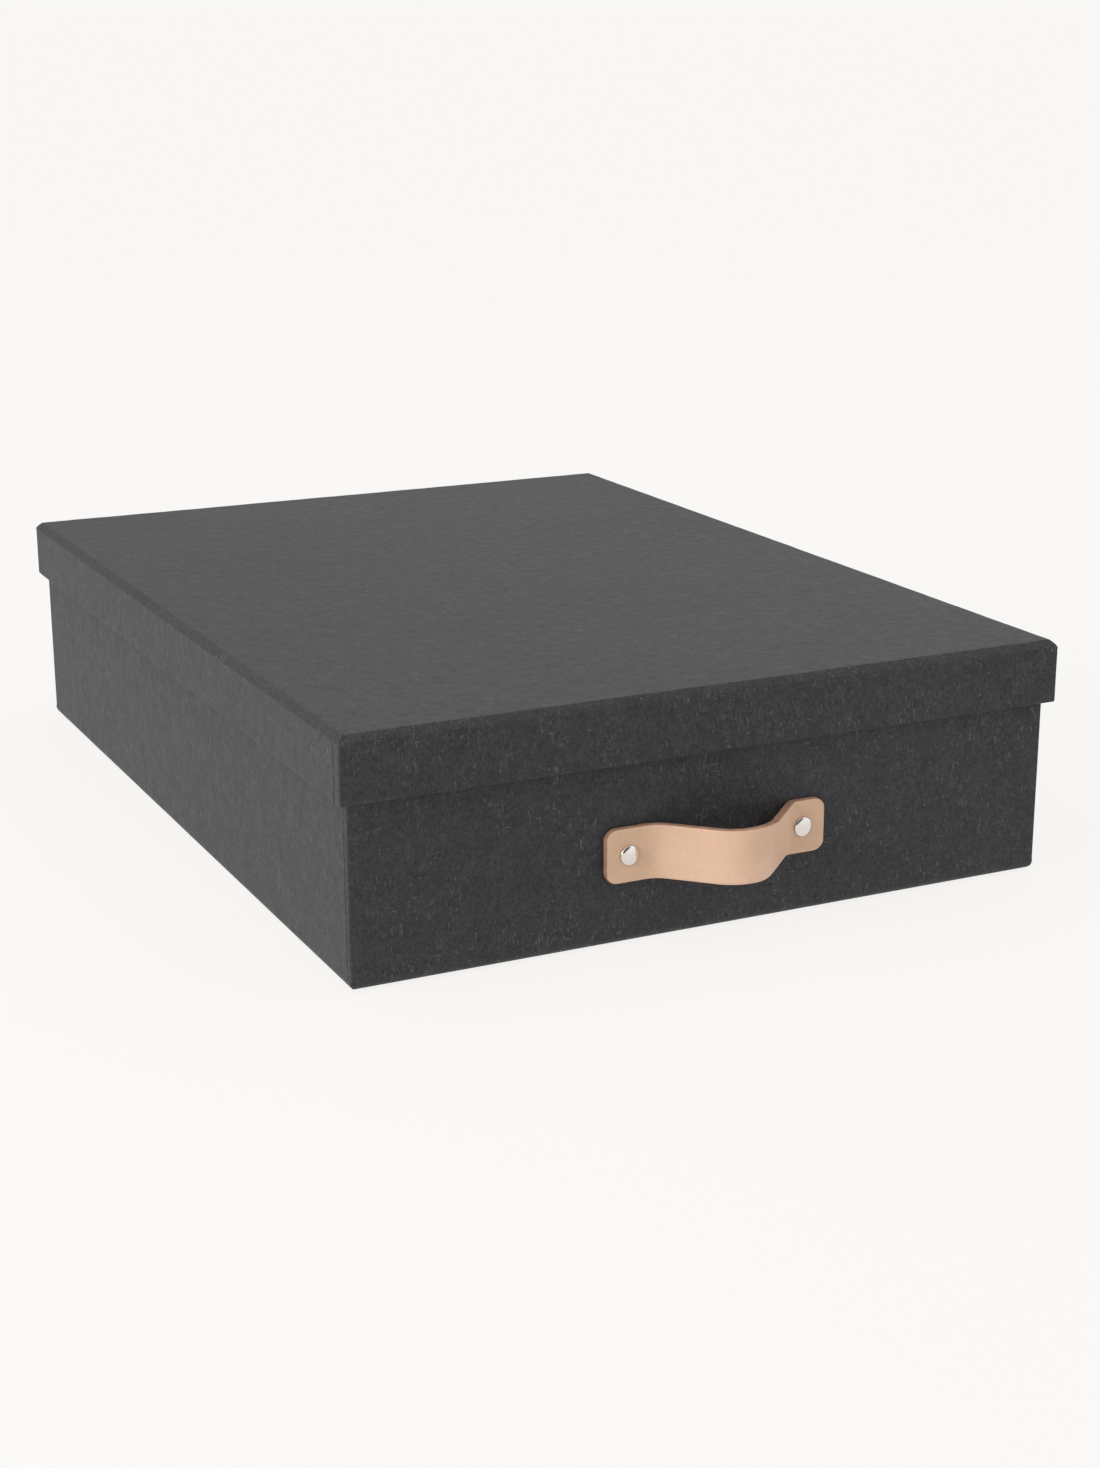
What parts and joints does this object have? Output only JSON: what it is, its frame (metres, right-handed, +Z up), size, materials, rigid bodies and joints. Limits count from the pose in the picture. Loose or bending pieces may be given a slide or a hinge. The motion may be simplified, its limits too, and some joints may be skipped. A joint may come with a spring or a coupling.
{
  "type": "archival document box",
  "caption": "Paper-covered board document box with a lift-off telescoping lid and a riveted leather pull strap on one short end; holds loose sheets and folders flat.",
  "frame": {"origin": "centre of the underside, on the surface the box stands on", "axes": "+Z up, -Y out of the short end with the leather strap, +X to the right when facing that end from outside"},
  "size_m": [0.26, 0.3677, 0.0825],
  "materials": {
    "cover_paper": "matte",
    "grey_board": "matte",
    "stay_tape": "matte",
    "lining_paper": "matte",
    "strap_leather": "satin",
    "rivet_metal": "polished"
  },
  "bodies": {
    "tray": {"base_blank": "grey_board", "base_stay_front_left": "stay_tape", "base_stay_front_right": "stay_tape", "base_stay_back_left": "stay_tape", "base_stay_back_right": "stay_tape", "base_lining": "lining_paper", "base_cover_left": "cover_paper", "base_cover_right": "cover_paper", "base_cover_front": "cover_paper", "base_cover_back": "cover_paper", "base_bottom_sheet": "cover_paper", "handle_strap": "strap_leather", "rivet_cap_left": "rivet_metal", "rivet_cap_right": "rivet_metal", "rivet_post_left": "rivet_metal", "rivet_post_right": "rivet_metal"},
    "lid": {"lid_blank": "grey_board", "lid_stay_front_left": "stay_tape", "lid_stay_front_right": "stay_tape", "lid_stay_back_left": "stay_tape", "lid_stay_back_right": "stay_tape", "lid_lining": "lining_paper", "lid_cover": "cover_paper"}
  },
  "joints": [
    {"name": "lid_lift", "type": "slide", "parent": "tray", "child": "lid", "axis": [0, 0, 1], "range_m": [0, 0.12]}
  ]
}
